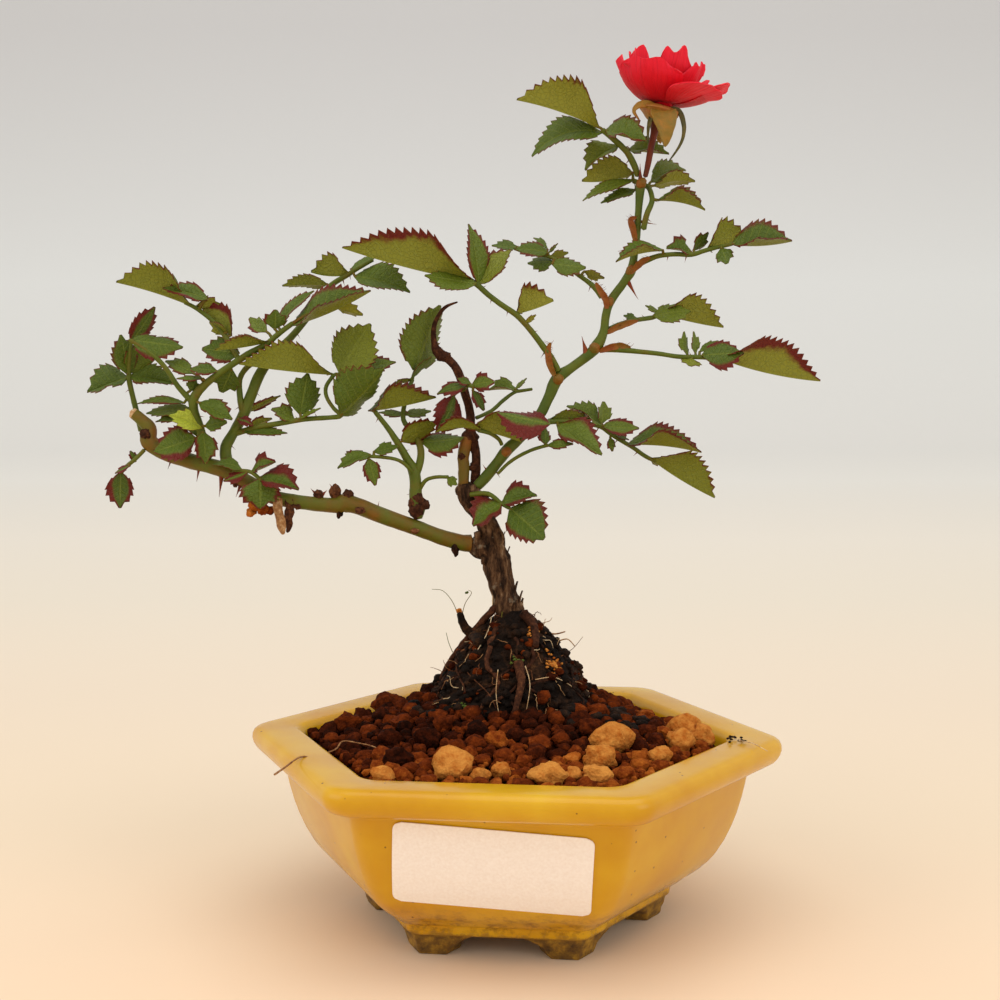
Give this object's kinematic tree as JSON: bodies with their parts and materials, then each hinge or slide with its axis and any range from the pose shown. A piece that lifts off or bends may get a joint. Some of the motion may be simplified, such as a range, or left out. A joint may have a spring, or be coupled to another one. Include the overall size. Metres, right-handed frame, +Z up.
{
  "type": "potted rose bonsai",
  "caption": "Small rose bonsai with one open red bloom and toothed leaves, on a raised root mound in a glazed hexagonal footed pot.",
  "frame": {"origin": "middle of the bounding box in X and Y, on the plane that the pot's feet stand on", "axes": "+Z up, +X to the viewer's right as the picture looks at the pot's labelled front, +Y away from that viewer"},
  "size_m": [0.181, 0.1182, 0.2091],
  "materials": {
    "ochre_glaze": "glossy ochre-yellow glaze",
    "mesh_plastic": "black plastic mesh",
    "label_paper": "coated white paper, blank",
    "clay_granules": "rough red-brown fired clay",
    "root_ball": "dark compost and roots",
    "bark": "rough grey-brown bark",
    "olive_bark": "smooth olive bark",
    "old_wood": "red-brown and olive stems",
    "green_shoot": "green stem with a thin waxy skin",
    "leaf": "olive-green leaf with red-brown edge",
    "red_leaf": "green leaf that has turned rusty red",
    "sepal": "olive-brown sepal",
    "petal": "velvety crimson petal"
  },
  "bodies": {
    "root": {"pot": "ochre_glaze", "drain_screen": "mesh_plastic", "label": "label_paper", "soil": "clay_granules", "root_mound": "root_ball", "trunk": "bark", "branch_left": "olive_bark", "old_stems": "old_wood", "shoot_right": "green_shoot", "calyx": "sepal", "bloom": "petal", "spray_top": "leaf", "spray_upper": "leaf", "spray_right_upper": "leaf", "spray_right_middle": "leaf", "spray_right_lower": "red_leaf", "spray_arch": "leaf", "spray_centre_upper": "leaf", "spray_right_low": "leaf", "spray_low_small": "leaf", "spray_trunk": "red_leaf", "spray_centre_front": "leaf", "spray_centre": "red_leaf", "sprig_centre": "leaf", "shoots_middle": "leaf", "shoot_left": "leaf", "cluster_left": "leaf", "spray_left_low": "red_leaf", "spray_left_tip": "red_leaf", "spray_far_left": "leaf"}
  },
  "joints": []
}
